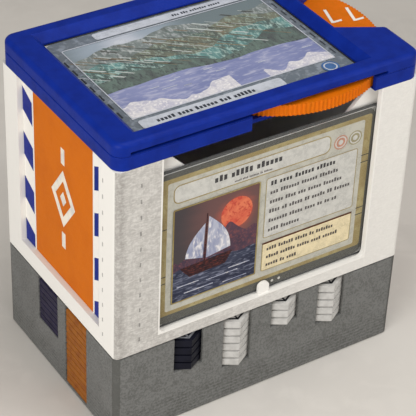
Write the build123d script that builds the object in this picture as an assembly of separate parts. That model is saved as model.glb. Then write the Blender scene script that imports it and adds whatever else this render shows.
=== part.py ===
from build123d import *
import math
import os

os.makedirs("parts", exist_ok=True)

# A trading card box, in millimetres: a deck box that stands on a sliding token drawer, under a
# lift-off lid with a card window and a counter dial. The origin is the centre of the footprint,
# on the table. The front is -Y, the right side is +X and +Z is up.

# ---- Storeys, and the room they keep round a card
width_beside_card = 33.6
depth_beside_card = 17.0
height_beside_card = 15.3
drawer_height = 37.0
drawer_gap = 0.2
lid_base_height = 5.1
lid_cover_height = 5.1
drawer_corner = 2.5
box_corner = 2.0
lid_corner = 4.5
foot_chamfer = 0.5

# ---- Cards and their clear sleeves
card_width = 88.0
card_height = 63.0
card_thickness = 0.4
sleeve_hem = 3.0
sleeve_film = 0.2
sleeve_play = 0.1

# ---- Deck box
box_floor = 2.5
box_side_wall = 5.4
box_back_wall = 3.0
front_skin = 2.0
pocket_gap = 1.8
pocket_play = 0.6
front_sleeve_play = 0.4
divider_wall = 1.4
window_hold = 1.6
window_x = 0.7
window_sill = 5.6
pocket_sill = 5.0
window_corner = 2.5
tab_width = 4.6
tab_height = 4.5
tab_thickness = 1.2
tab_crown = 2.0
finger_shoulder = 2.4
finger_slope = 21.0
finger_depth = 21.0

# ---- Side panels, slid down into slots behind an open recess
recess_margin = 11.4
recess_depth = 2.2
recess_sill = 7.7
panel_lip = 2.0
panel_thickness = 1.6
panel_play = 0.1
inlay_depth = 0.5
band_margin = 7.8
stripe_gap = 1.0
stripe_count = 4
stripe_pitch = 18.8
stripe_height = 9.6
stripe_slope = 28.0
stripe_first = 13.2
motif_height = 42.0
lozenge_width = 17.0
lozenge_height = 24.0
motif_stroke = 2.6
motif_seed = 4.4
motif_bar = 6.6

# ---- Hexagonal tokens in the drawer's front, one count per well from left to right
front_counts = (4, 6, 3, 5)
front_names = ("navy_tokens_front", "white_tokens_left", "white_tokens_middle", "white_tokens_right")
token_flats = 18.6
token_thickness = 3.4
token_bevel = 0.7
token_proud = 2.0
stack_play = 0.05
well_play = 0.3
well_pitch = 20.6
slot_width = 11.9
front_top_clear = 1.4

# ---- Square tiles in the drawer's sides
tile_thickness = 2.6
tile_length = 14.4
tile_bevel = 0.5
tile_inset = 0.4
tile_top_clear = 1.2
navy_width = 14.2
navy_count = 7
navy_setback = 48.8
orange_width = 15.2
orange_count = 13
orange_setback = 28.1

# ---- Storage well, rails and their grooves
well_floor = 2.0
well_side_wall = 1.9
well_front_wall = 2.0
well_back_wall = 3.0
well_corner = 3.0
rail_side_wall = 1.6
rail_back_inset = 0.5
rail_neck_width = 3.0
rail_neck_height = 2.6
rail_head_width = 5.6
rail_head_height = 1.8
rail_play = 0.3

# ---- Lid base and dial
seam_chamfer = 0.3
plug_depth = 1.6
plug_play = 0.3
dial_proud = 3.8
dial_radius = 42.4
dial_thickness = 4.3
dial_play = 0.6
dial_floor = 0.3
dial_lift = 0.1
rib_count = 168
rib_depth = 0.5
thumb_left_reach = 31.5
thumb_right_reach = 19.2
thumb_depth = 13.0
axle_radius = 4.0
axle_head_radius = 7.0
axle_head_height = 0.8
axle_play = 0.05
axle_end_gap = 0.3

# ---- Lid cover
cover_soft_edge = 1.8
cover_floor = 0.4
card_slot_height = 1.1
card_slot_play = 0.6
sleeve_lift = 0.05
window_lip = 0.6
window_play = 0.3
cover_window_margin = 11.9
finger_slot_margin = 5.5
finger_slot_depth = 5.0
thumb_lip_depth = 7.0
notch_depth = 17.2
notch_inner_half = 11.7
notch_outer_half = 20.9

# ---- Magnets
magnet_play = 0.05
lid_magnet_radius = 2.0
lid_magnet_height = 2.0
lid_magnet_side_inset = 2.8
lid_magnet_end_inset = 3.6
lid_magnet_skin = 0.2
drawer_magnet_radius = 3.0
drawer_magnet_height = 2.0
drawer_magnet_side_inset = 10.3
drawer_magnet_setback = 10.0
drawer_magnet_skin = 0.2

# ---- Heights and half sizes that follow from the above
body_width = card_width + width_beside_card
body_depth = card_height + depth_beside_card
box_height = card_height + height_beside_card
sleeve_width = card_width + sleeve_hem
sleeve_height = card_height + sleeve_hem
sleeved_thickness = card_thickness + 2 * sleeve_film
half_width = body_width / 2
half_depth = body_depth / 2
box_bottom = drawer_height + drawer_gap
box_top = box_bottom + box_height
seam = box_top + lid_base_height
lid_top = seam + lid_cover_height
front = -half_depth
beyond = 1.0
inner_half_width = half_width - box_side_wall
inner_front = front + front_skin + pocket_gap + divider_wall
inner_back = half_depth - box_back_wall
window_bottom = box_bottom + window_sill
pocket_bottom = box_bottom + pocket_sill
window_width = sleeve_width - 2 * window_hold
finger_top_width = window_width - 2 * finger_shoulder
finger_bottom_width = finger_top_width - 2 * finger_slope
recess_bottom = box_bottom + recess_sill
recess_width = body_depth - 2 * recess_margin
band_width = recess_width - 2 * band_margin
panel_face = half_width - recess_depth
panel_half = recess_width / 2 + panel_lip - panel_play
panel_top = box_top - panel_play
token_y = front - token_proud + token_flats / math.sqrt(3)
navy_y = front + navy_setback
orange_y = front + orange_setback
side_well_x = half_width - tile_inset - tile_length - well_play
rail_x = side_well_x - rail_side_wall - rail_head_width / 2 - rail_play
well_half_width = rail_x - rail_head_width / 2 - rail_play - well_side_wall
well_front = token_y + (token_flats + 2 * well_play) / math.sqrt(3) + well_front_wall
dial_x = half_width + dial_proud - dial_radius
cover_window_x = cover_window_margin + window_play + card_width / 2 - half_width
notch_inner_x = half_width - notch_depth
lid_magnet_x = half_width - lid_magnet_side_inset
lid_magnet_y = half_depth - lid_magnet_end_inset
drawer_magnet_x = half_width - drawer_magnet_side_inset
drawer_magnet_y = front + drawer_magnet_setback
dial_bottom = box_top + dial_floor + dial_lift
pocket_radius = dial_radius + dial_play
cover_floor_top = seam + cover_floor
card_slot_top = cover_floor_top + card_slot_height


def block(x_range, y_range, z_range):
    """A box between two corners, given as its ranges along X, Y and Z."""
    middle = [(low + high) / 2 for low, high in (x_range, y_range, z_range)]
    size = [high - low for low, high in (x_range, y_range, z_range)]
    return Pos(*middle) * Box(*size)


def disc(x, y, z_range, radius):
    """An upright cylinder."""
    low, high = z_range
    return Pos(x, y, low) * extrude(Circle(radius), high - low)


def slab(corner, z_range):
    """The full footprint with rounded upright corners."""
    low, high = z_range
    return Pos(0, 0, low) * extrude(RectangleRounded(body_width, body_depth, corner), high - low)


def mirrored(solid):
    """The same shape on the other side of the box."""
    return mirror(solid, Plane.YZ)


def group(solids):
    """Separate solids that share one node."""
    return Compound(children=list(solids))


# ---- Drawer

def front_well_x(index):
    """Centre of a front well, counted from the left."""
    return (index - (len(front_counts) - 1) / 2) * well_pitch


def hexagon(flats):
    """A hexagon with a corner to the front and a corner to the back."""
    return RegularPolygon(flats / math.sqrt(3), 6, rotation=30)


def stack_bottom(count, thickness, top_clear):
    """Height of a well's floor under a stack."""
    return drawer_height - top_clear - count * (thickness + stack_play)


def front_well(index):
    """A hexagonal well with a finger slot to the front."""
    low = stack_bottom(front_counts[index], token_thickness, front_top_clear)
    x = front_well_x(index)
    depth = drawer_height + beyond - low
    well = Pos(x, token_y, low) * extrude(hexagon(token_flats + 2 * well_play), depth)
    slot = block(
        (x - slot_width / 2, x + slot_width / 2),
        (front - beyond, token_y),
        (low, drawer_height + beyond),
    )
    return well + slot


def token_stack(index):
    """Bevelled hexagonal tokens, one above the other."""
    count = front_counts[index]
    low = stack_bottom(count, token_thickness, front_top_clear)
    token = extrude(hexagon(token_flats), token_thickness)
    token = chamfer(token.faces().sort_by(Axis.Z)[0].edges(), token_bevel)
    pitch = token_thickness + stack_play
    place = [Pos(front_well_x(index), token_y, low + i * pitch) for i in range(count)]
    return group([spot * token for spot in place])


def side_well(y, width, count):
    """A square well, open to the drawer's left side."""
    low = stack_bottom(count, tile_thickness, tile_top_clear)
    reach = width / 2 + well_play / 2 + stack_play
    return block(
        (-half_width - beyond, -side_well_x),
        (y - reach, y + reach),
        (low, drawer_height + beyond),
    )


def tile_stack(y, width, count):
    """Square tiles with bevelled top edges in a left side well."""
    low = stack_bottom(count, tile_thickness, tile_top_clear)
    outer = -half_width + tile_inset
    tile = block((outer, outer + tile_length), (y - width / 2, y + width / 2), (0, tile_thickness))
    tile = chamfer(tile.faces().sort_by(Axis.Z)[-1].edges(), tile_bevel)
    pitch = tile_thickness + stack_play
    return group([Pos(0, 0, low + i * pitch) * tile for i in range(count)])


def rail_section(play):
    """T section of a rail that hangs under the deck box, grown by a running play."""
    neck = rail_neck_width / 2 + play
    head = rail_head_width / 2 + play
    head_top = box_bottom - rail_neck_height + play
    head_bottom = box_bottom - rail_neck_height - rail_head_height - play
    outline = Polyline(
        (-neck, box_bottom),
        (-neck, head_top),
        (-head, head_top),
        (-head, head_bottom),
        (head, head_bottom),
        (head, head_top),
        (neck, head_top),
        (neck, box_bottom),
        close=True,
    )
    return make_face(outline)


def rail(side, play, y_range):
    """One rail, or the groove for it, along Y."""
    low, high = y_range
    section = Plane.XZ * rail_section(play)
    return Pos(side * rail_x, high, 0) * extrude(section, high - low)


def storage_well():
    """The open compartment behind the token wells."""
    back = half_depth - well_back_wall
    outline = RectangleRounded(2 * well_half_width, back - well_front, well_corner)
    depth = drawer_height + beyond - well_floor
    return Pos(0, (back + well_front) / 2, well_floor) * extrude(outline, depth)


def drawer_magnets(z_range, play):
    """The pair of drawer catch magnets, or their pockets."""
    radius = drawer_magnet_radius + play
    return [disc(side * drawer_magnet_x, drawer_magnet_y, z_range, radius) for side in (-1, 1)]


drawer_magnet_top = drawer_height - drawer_magnet_skin
drawer_magnet_range = (drawer_magnet_top - drawer_magnet_height, drawer_magnet_top)
floor_magnet_bottom = box_bottom + drawer_magnet_skin
floor_magnet_range = (floor_magnet_bottom, floor_magnet_bottom + drawer_magnet_height)


def make_drawer():
    """The token drawer's body."""
    body = slab(drawer_corner, (0, drawer_height))
    body = chamfer(body.faces().sort_by(Axis.Z)[0].edges(), foot_chamfer)
    for index in range(len(front_counts)):
        body -= front_well(index)
    for y, width, count in ((navy_y, navy_width, navy_count), (orange_y, orange_width, orange_count)):
        well = side_well(y, width, count)
        body -= well
        body -= mirrored(well)
    body -= storage_well()
    for side in (-1, 1):
        body -= rail(side, rail_play, (well_front - rail_play, half_depth + beyond))
    for pocket in drawer_magnets(drawer_magnet_range, magnet_play):
        body -= pocket
    return body


# ---- Deck box

def window_cut():
    """The front window, open at the top, with rounded lower corners."""
    height = box_top + window_corner + beyond - window_bottom
    outline = RectangleRounded(window_width, height, window_corner)
    middle = window_bottom + height / 2
    plane = Plane((window_x, front + front_skin, middle), x_dir=(1, 0, 0), z_dir=(0, -1, 0))
    return extrude(plane * outline, front_skin + beyond)


def finger_cut():
    """A wide notch in the wall behind the front card."""
    top = box_top + beyond
    low = box_top - finger_depth
    outline = Polyline(
        (-finger_top_width / 2, top),
        (-finger_top_width / 2, box_top),
        (-finger_bottom_width / 2, low),
        (finger_bottom_width / 2, low),
        (finger_top_width / 2, box_top),
        (finger_top_width / 2, top),
        close=True,
    )
    depth = divider_wall + pocket_gap
    return Pos(window_x, inner_front, 0) * extrude(Plane.XZ * make_face(outline), depth)


def card_pocket():
    """The slot that holds the front card in its sleeve."""
    reach = sleeve_width / 2 + pocket_play
    low = front + front_skin
    return block(
        (window_x - reach, window_x + reach),
        (low, low + pocket_gap),
        (pocket_bottom, box_top + beyond),
    )


def window_tab():
    """The small stop that rises from the window's sill."""
    low = window_bottom - tab_thickness
    body = block(
        (window_x - tab_width / 2, window_x + tab_width / 2),
        (front + front_skin - tab_thickness, front + front_skin),
        (low, window_bottom + tab_height),
    )
    crown = body.edges().filter_by(Axis.Y).group_by(Axis.Z)[-1]
    return fillet(crown, tab_crown)


def panel_cut():
    """The right side's recess and the slot that its panel slides down into."""
    low, high = recess_bottom, box_top + beyond
    opening = block(
        (panel_face, half_width + beyond), (-recess_width / 2, recess_width / 2), (low, high)
    )
    reach = recess_width / 2 + panel_lip
    slot = block(
        (panel_face - panel_thickness - panel_play, panel_face),
        (-reach, reach),
        (low - panel_lip, high),
    )
    return opening + slot


def lid_magnets(z_range, play):
    """The four lid magnets, or their pockets."""
    radius = lid_magnet_radius + play
    corners = [(x, y) for x in (-lid_magnet_x, lid_magnet_x) for y in (-lid_magnet_y, lid_magnet_y)]
    return [disc(x, y, z_range, radius) for x, y in corners]


box_magnet_top = box_top - lid_magnet_skin
box_magnet_range = (box_magnet_top - lid_magnet_height, box_magnet_top)
base_magnet_bottom = box_top + lid_magnet_skin
base_magnet_range = (base_magnet_bottom, base_magnet_bottom + lid_magnet_height)


def make_deck_box():
    """The deck box's body with its rails."""
    body = slab(box_corner, (box_bottom, box_top))
    body = chamfer(body.faces().sort_by(Axis.Z)[0].edges(), foot_chamfer)
    body -= block(
        (-inner_half_width, inner_half_width),
        (inner_front, inner_back),
        (box_bottom + box_floor, box_top + beyond),
    )
    body -= card_pocket()
    body -= window_cut()
    body -= finger_cut()
    body += window_tab()
    recess = panel_cut()
    body -= recess
    body -= mirrored(recess)
    for side in (-1, 1):
        body += rail(side, 0, (well_front, half_depth - rail_back_inset))
    for pocket in lid_magnets(box_magnet_range, magnet_play):
        body -= pocket
    for pocket in drawer_magnets(floor_magnet_range, magnet_play):
        body -= pocket
    return body


# ---- Side panels, drawn on the right side with their face to +X

def side_face(points):
    """A closed outline in Y and Z, drawn on the panel's inlay floor."""
    plane = Plane((panel_face - inlay_depth, 0, 0), x_dir=(0, 1, 0), z_dir=(1, 0, 0))
    return plane * make_face(Polyline(*points, close=True))


def inlay(points):
    """A flush coloured inlay in the panel's face."""
    return extrude(side_face(points), inlay_depth)


def lozenge(width, height, z):
    """Corner points of an upright lozenge."""
    return [(-width / 2, z), (0, z - height / 2), (width / 2, z), (0, z + height / 2)]


motif_z = (recess_bottom + box_top) / 2


def make_motif():
    """A plain lozenge ring round a small lozenge, with a bar above and below."""
    inset = motif_stroke * math.hypot(lozenge_width, lozenge_height) / lozenge_height
    inner_width = lozenge_width - 2 * inset
    inner_height = inner_width * lozenge_height / lozenge_width
    ring = inlay(lozenge(lozenge_width, lozenge_height, motif_z))
    ring -= inlay(lozenge(inner_width, inner_height, motif_z))
    seed = inlay(lozenge(motif_seed, motif_seed * lozenge_height / lozenge_width, motif_z))
    bars = []
    for sign in (-1, 1):
        far = motif_z + sign * motif_height / 2
        near = far - sign * motif_bar
        half = motif_stroke / 2
        bars.append(inlay([(-half, near), (half, near), (half, far), (-half, far)]))
    return [ring, seed, *bars]


def make_band(motif):
    """The coloured band, with the motif's places left open."""
    half = band_width / 2
    low, high = recess_bottom, panel_top
    band = inlay([(-half, low), (half, low), (half, high), (-half, high)])
    for piece in motif:
        band -= piece
    return band


def make_stripes():
    """Slanted stripes on both margins, rising outwards, cut to the recess."""
    inner = band_width / 2 + stripe_gap
    outer = recess_width / 2
    rise = (outer - inner) * math.tan(math.radians(stripe_slope))
    stripes = []
    for index in range(stripe_count):
        top = box_top - stripe_first + stripe_height / 2 - index * stripe_pitch
        low = top - stripe_height
        for side in (-1, 1):
            points = [(inner, low), (outer, low + rise), (outer, top + rise), (inner, top)]
            stripes.append(inlay([(side * y, z) for y, z in points]))
    limit = block(
        (panel_face - inlay_depth, panel_face), (-outer, outer), (recess_bottom, panel_top)
    )
    return [stripe & limit for stripe in stripes]


def make_panel(inlays):
    """The panel plate under its inlays."""
    plate = block(
        (panel_face - panel_thickness, panel_face),
        (-panel_half, panel_half),
        (recess_bottom - panel_lip + panel_play, panel_top),
    )
    for piece in inlays:
        plate -= piece
    return plate


def side_panel_nodes():
    """All pieces of the right panel, by the last part of their node names."""
    motif = make_motif()
    band = make_band(motif)
    stripes = make_stripes()
    panel = make_panel([*motif, band, *stripes])
    return {"panel": panel, "band": band, "stripes": group(stripes), "motif": group(motif)}


# ---- Cards

def sleeved_card():
    """A card in its open-ended sleeve, lying flat with its back film on Z = 0."""
    film = block(
        (-sleeve_width / 2, sleeve_width / 2),
        (-sleeve_height / 2, sleeve_height / 2),
        (0, sleeved_thickness),
    )
    card_z = (sleeve_film, sleeve_film + card_thickness)
    card = block(
        (-card_width / 2, card_width / 2), (-card_height / 2, card_height / 2), card_z
    )
    half_hollow = card_height / 2 + sleeve_play
    hollow = block(
        (-sleeve_width / 2 - beyond, card_width / 2 + sleeve_play),
        (-half_hollow, half_hollow),
        card_z,
    )
    return card, film - hollow


def front_card_nodes():
    """The upright card in the front window, in its sleeve."""
    middle = pocket_bottom + sleeve_play + sleeve_height / 2
    back = front + front_skin + front_sleeve_play + sleeved_thickness
    spot = Pos(window_x, back, middle) * Rot(90, 0, 0)
    return [spot * piece for piece in sleeved_card()]


def top_card_nodes():
    """The flat card under the lid's window, in its sleeve."""
    spot = Pos(cover_window_x, 0, cover_floor_top + sleeve_lift)
    return [spot * piece for piece in sleeved_card()]


# ---- Lid

def thumb_cut(y_range, z_range):
    """A cut in the lid's edge that bares the dial's rim."""
    return block((dial_x - thumb_left_reach, dial_x + thumb_right_reach), y_range, z_range)


def make_lid_base():
    """The lid's lower half: the dial's pocket, and the plug that centres it in the box."""
    base = slab(lid_corner, (box_top, seam))
    base = chamfer(base.faces().sort_by(Axis.Z)[-1].edges(), seam_chamfer)
    plug_half = inner_half_width - plug_play
    base += block(
        (-plug_half, plug_half),
        (inner_front + plug_play, inner_back - plug_play),
        (box_top - plug_depth, box_top),
    )
    pocket_z = (box_top + dial_floor, seam + beyond)
    base -= disc(dial_x, 0, pocket_z, pocket_radius)
    base -= thumb_cut((front - beyond, front + thumb_depth), pocket_z)
    base -= thumb_cut((half_depth - thumb_depth, half_depth + beyond), pocket_z)
    rim_z = (box_top - beyond, seam + beyond)
    base -= thumb_cut((front - beyond, inner_front), rim_z)
    base -= thumb_cut((inner_back, half_depth + beyond), rim_z)
    hole_z = (box_top - plug_depth - beyond, seam)
    base -= disc(dial_x, 0, hole_z, axle_radius + axle_play)
    for pocket in lid_magnets(base_magnet_range, magnet_play):
        base -= pocket
    return base


def make_axle():
    """The headed pin that the dial turns on, put in from below."""
    under = box_top - plug_depth
    head = disc(dial_x, 0, (under - axle_head_height, under), axle_head_radius)
    return head + disc(dial_x, 0, (under, seam - axle_end_gap), axle_radius)


def make_dial():
    """The ribbed dial with its bore."""
    step = math.pi / rib_count
    rim = []
    for index in range(2 * rib_count):
        radius = dial_radius - rib_depth * (index % 2)
        rim.append((radius * math.cos(index * step), radius * math.sin(index * step)))
    body = extrude(make_face(Polyline(*rim, close=True)), dial_thickness)
    body = Pos(dial_x, 0, dial_bottom) * body
    bore_z = (dial_bottom - beyond, dial_bottom + dial_thickness + beyond)
    return body - disc(dial_x, 0, bore_z, axle_radius + axle_play)


def cover_window():
    """The bevelled card window, from the lip upwards."""
    width = card_width + 2 * window_play
    height = card_height + 2 * window_play
    lip_top = card_slot_top + window_lip
    bevel = lid_top - lip_top
    lip = Pos(cover_window_x, 0, card_slot_top) * extrude(Rectangle(width, height), window_lip)
    low = Pos(cover_window_x, 0, lip_top) * Rectangle(width, height)
    high = Pos(cover_window_x, 0, lid_top) * Rectangle(width + 2 * bevel, height + 2 * bevel)
    return lip + loft([low, high])


def reading_notch():
    """The cut in the cover's right edge that bares the dial's numbers."""
    outer = half_width + beyond
    slope = (notch_outer_half - notch_inner_half) / (half_width - notch_inner_x)
    outer_half = notch_outer_half + slope * beyond
    outline = Polyline(
        (notch_inner_x, -notch_inner_half),
        (outer, -outer_half),
        (outer, outer_half),
        (notch_inner_x, notch_inner_half),
        close=True,
    )
    return Pos(0, 0, seam - beyond) * extrude(make_face(outline), lid_cover_height + 2 * beyond)


def make_lid_cover():
    """The lid's upper half: card slot, bevelled window and reading notch."""
    cover = slab(lid_corner, (seam, lid_top))
    cover = chamfer(cover.faces().sort_by(Axis.Z)[0].edges(), seam_chamfer)
    cover = fillet(cover.faces().sort_by(Axis.Z)[-1].edges(), cover_soft_edge)
    slot_z = (cover_floor_top, card_slot_top)
    reach = sleeve_width / 2 + card_slot_play
    cover -= block(
        (cover_window_x - reach, cover_window_x + reach),
        (front - beyond, sleeve_height / 2 + card_slot_play),
        slot_z,
    )
    finger_half = sleeve_width / 2 + finger_slot_margin
    cover -= block(
        (cover_window_x - finger_half, cover_window_x + finger_half),
        (front - beyond, front + finger_slot_depth),
        slot_z,
    )
    cover -= thumb_cut((front - beyond, front + thumb_lip_depth), (seam - beyond, cover_floor_top))
    cover -= cover_window()
    cover -= reading_notch()
    return cover


# ---- All nodes

nodes = {
    "token_drawer": make_drawer(),
    "drawer_magnets": group(drawer_magnets(drawer_magnet_range, 0)),
    "deck_box": make_deck_box(),
    "floor_magnets": group(drawer_magnets(floor_magnet_range, 0)),
    "box_magnets": group(lid_magnets(box_magnet_range, 0)),
    "lid_magnets": group(lid_magnets(base_magnet_range, 0)),
    "lid_base": make_lid_base(),
    "lid_cover": make_lid_cover(),
    "dial_axle": make_axle(),
    "dial": make_dial(),
}
nodes["front_card"], nodes["front_sleeve"] = front_card_nodes()
nodes["top_card"], nodes["top_sleeve"] = top_card_nodes()

for index, name in enumerate(front_names):
    nodes[name] = token_stack(index)

for name, y, width, count in (
    ("navy_tiles", navy_y, navy_width, navy_count),
    ("orange_tiles", orange_y, orange_width, orange_count),
):
    stack = tile_stack(y, width, count)
    nodes[f"{name}_left"] = stack
    nodes[f"{name}_right"] = mirrored(stack)

for name, piece in side_panel_nodes().items():
    nodes[f"right_{name}"] = piece
    nodes[f"left_{name}"] = mirrored(piece)

for name, piece in nodes.items():
    export_step(piece, f"parts/{name}.step")
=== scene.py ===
import math
import random

import bpy
from mathutils import Matrix, Vector


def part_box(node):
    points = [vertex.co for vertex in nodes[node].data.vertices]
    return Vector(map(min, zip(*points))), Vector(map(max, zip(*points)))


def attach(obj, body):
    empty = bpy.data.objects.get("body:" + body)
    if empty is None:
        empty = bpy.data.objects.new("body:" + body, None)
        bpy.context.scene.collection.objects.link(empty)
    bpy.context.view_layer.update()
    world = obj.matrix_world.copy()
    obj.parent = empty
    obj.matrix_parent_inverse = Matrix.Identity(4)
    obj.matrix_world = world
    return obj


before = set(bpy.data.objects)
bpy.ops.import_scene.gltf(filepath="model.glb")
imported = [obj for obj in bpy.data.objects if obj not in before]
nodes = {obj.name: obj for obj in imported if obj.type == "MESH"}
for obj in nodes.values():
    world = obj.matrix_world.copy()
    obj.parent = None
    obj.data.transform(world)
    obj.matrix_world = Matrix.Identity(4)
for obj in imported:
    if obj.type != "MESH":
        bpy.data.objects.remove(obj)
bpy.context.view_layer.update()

# A trading card box with card windows, a counter dial and a token drawer. The solids come from the
# frame, in metres. This script gives them their finishes and adds what is printed on them: the
# cards' faces, the sleeves' dark backs, the dial's numbers and the lines on the tokens. Sizes here
# are in millimetres, angles in degrees and colours in sRGB, 0 to 255, until MM, math.radians() and
# linear() turn them into Blender's own.

MM = 0.001

# ---- Camera, as the photograph was taken
IMAGE_SIDE = 416
FOCAL_PIXELS = 1720.9
VIEW_AZIMUTH = -34.02
VIEW_ELEVATION = 35.9
VIEW_ROLL = 2.62
VIEW_DISTANCE = 630.4
VIEW_OFFSET = (1.18, -3.63)
AIM_HEIGHT = 60.0
SENSOR_WIDTH = 36.0

# ---- Lamps: place, size and power in watts, all aimed at the box
LAMPS = {
    "top_lamp": ((100, -260, 860), 700, 4.4),
    "left_lamp": ((-500, -280, 260), 380, 2.5),
    "front_lamp": ((450, -560, 300), 420, 1.45),
}
WORLD_COLOUR = (236, 232, 226)
WORLD_STRENGTH = 0.36

# ---- Floor
FLOOR_COLOUR = (206, 201, 194)
FLOOR_SHADE = 0.97
FLOOR_PATCH = 60.0
FLOOR_HALF = 2000.0
FLOOR_THICKNESS = 0.02
FLOOR_DROP = 0.05

# ---- Colours of the box and what lies in it
WHITE_PLASTIC = (232, 229, 223)
WHITE_FUZZ = (158, 154, 149)
WHITE_SHADE = (206, 203, 197)
WHITE_SMOOTH = (236, 232, 225)
GREY_PLASTIC = (118, 118, 116)
GREY_DARK = (88, 88, 85)
LID_BLUE = (10, 40, 136)
LID_BLUE_DARK = (6, 33, 122)
DIAL_ORANGE = (218, 108, 8)
BAND_ORANGE = (205, 106, 3)
BAND_SHADE = (198, 100, 3)
STRIPE_BLUE = (38, 48, 132)
MOTIF_CREAM = (236, 226, 210)
NAVY_TOKEN = (22, 23, 34)
NAVY_TOKEN_SHADE = (16, 17, 26)
WHITE_TOKEN = (195, 193, 189)
WHITE_TOKEN_SHADE = (176, 174, 170)
NAVY_TILE = (42, 38, 60)
NAVY_TILE_SHADE = (32, 29, 47)
ORANGE_TILE = (149, 90, 32)
ORANGE_TILE_SHADE = (130, 72, 30)
PIN_WHITE = (222, 220, 214)
MAGNET_GREY = (196, 197, 200)
FILM_TINT = (235, 240, 245)
CARD_PAPER = (228, 226, 220)
NUMBER_WHITE = (240, 234, 226)
TOKEN_LINE_DARK = (44, 44, 48)
TOKEN_LINE_PALE = (150, 152, 158)
SLEEVE_BACK = (66, 67, 66)

# ---- Printed plastic
PLASTIC_GLOSS = 0.1
LAYER_PITCH = 0.4
LAYER_DEPTH = 0.012
PANEL_LAYER_DEPTH = 0.006
NUMBER_LAYER_DEPTH = 0.004
PLASTIC_GRAIN = 0.35
MOTTLE_SPREAD = (0.35, 0.75)
ROUGH_PATCH = 1.2
ROUGH_SPREAD = 0.2
EDGE_RADIUS = 0.35
EDGE_SAMPLES = 4

# ---- The box's woven skin: where it lies, measured in from the body's faces, and how grey it is
UPRIGHT_THREADS = {"size": 0.6, "detail": 3, "stretch": (1, 1, 0.4), "distortion": 0.3}
LEVEL_THREADS = {"size": 0.7, "detail": 3, "stretch": (0.36, 1, 1), "distortion": 0.8}
SKIN_INSET = 1.4
SKIN_FACING = (0.25, 0.5)
SKIN_DEPTH = 0.2
SKIN_TONE = 0.7
SKIN_LAYERS = 0.06
WEAR_LEFT = 12.8
WEAR_RIGHT = 2.8
WEAR_LEAST = 0.25
# Painted shade on the skin by the rounded front left corner: where it starts and where it is full,
# measured in from the left face, and how much greyer it makes the skin
CORNER_SHADE_BAND = (4.8, 1.8)
CORNER_SHADE_TONE = 0.22
PATCH_SIZE = 3.4
PATCH_SPREAD = (0.3, 0.7)
PATCH_TONE = 0.14
THREAD_SPREAD = (0.4, 0.64)
THREAD_TONE = 0.3
LEVEL_SHARE = 0.7
WINDOW_LAP = 0.1
WINDOW_SILL = 5.8
# A thin rim round the card window that is kept bare of skin, as a painted highlight along the
# window's edge
WINDOW_RIM_HIGHLIGHT = 0.6

# ---- The columns of dashes beside the box's front left corner: small notches, darkened with painted shade
SEAM_PITCH = 6.45
SEAM_SHIFT = 2.5
SEAM_SHARE = 0.26
SEAM_WIDTH = 0.6
SEAM_WOBBLE = 0.6
SEAM_WOBBLE_SIZE = 4.0
# How far the notch dashes are darkened, as painted shade
SEAM_NOTCH_SHADE = 0.55
SEAM_FROM_LEFT = 9.5
SEAM_FROM_FRONT = 8.8
SEAM_FROM_DRAWER = 2.0
SEAM_FROM_TOP = 3.5
SEAM_FACING = 0.9

# ---- The drawer's grey
SPECKLE_SIZE = 0.75
SPECKLE_SPREAD = (0.42, 0.62)
SPECKLE_TONE = 0.5
CLOUD_SIZE = 6.0
CLOUD_SPREAD = (0.3, 0.7)
CLOUD_TONE = 0.25
DRAWER_LINE_PITCH = 1.5
DRAWER_LINE_TONE = 0.35
DRAWER_LINE_FADE = (9.0, 13.0)
# Painted shade on the drawer's rounded upright corners: the facing over which it comes in, and how
# dark it gets
DRAWER_CORNER_FACING = (0.08, 0.25)
DRAWER_CORNER_SHADE = 0.8
DRAWER_LAYERS = 0.3
DRAWER_DEPTH = 0.05

# ---- Film and metal
FILM_ALPHA = 0.05
FILM_STREAK = 9.0
FILM_WAVE = 6.0
FILM_DEPTH = 0.05
METAL_WEAR = 0.8
METAL_GRAIN = 0.3
METAL_DEPTH = 0.01
METAL_EDGE = 0.2

# ---- Printed pictures
BROAD_SPREAD = (0.32, 0.68)
FINE_SPREAD = (0.45, 0.72)
FINE_TIMES = 5
PAPER_GRAIN = 0.5
PAPER_DEPTH = 0.004
PICTURE_ROUGHNESS = 0.45
INK_PATCH = 3.0
INK_SHADE = 0.9
GLOW_WISP = 5.0
GLOW_WOBBLE = 0.5
GLOW_CORE = 0.4
GLOW_REACH = 2.2

# ---- Prints lie in layers this thick, one above the other
PRINT_LAYER = 0.01

# ---- Rows of ticks in place of words, in shares of a letter's height
TICK_SHARE = 0.5
TICK_GAP = 0.22
TICK_HEIGHTS = (1.0, 0.72, 0.72, 0.85)
WORD_LETTERS = (2, 7)
WORD_GAP = 0.5
ROW_END = 3
SHORT_ROW = (0.4, 0.7)

# ---- Hill lines
RIDGE_WAVES = (1, 2, 4, 8)
RIDGE_STRETCH = (0.6, 1.4)
RIDGE_STEPS = 48

# ---- Both cards. Places, and areas as two corners, are measured from the card's centre.
CARD_CORNER = 3.0
SLEEVE_BACK_INSET = 0.2
SLEEVE_BACK_DEPTH = -0.38
SLEEVE_BACK_CORNER = 1.0

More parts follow.
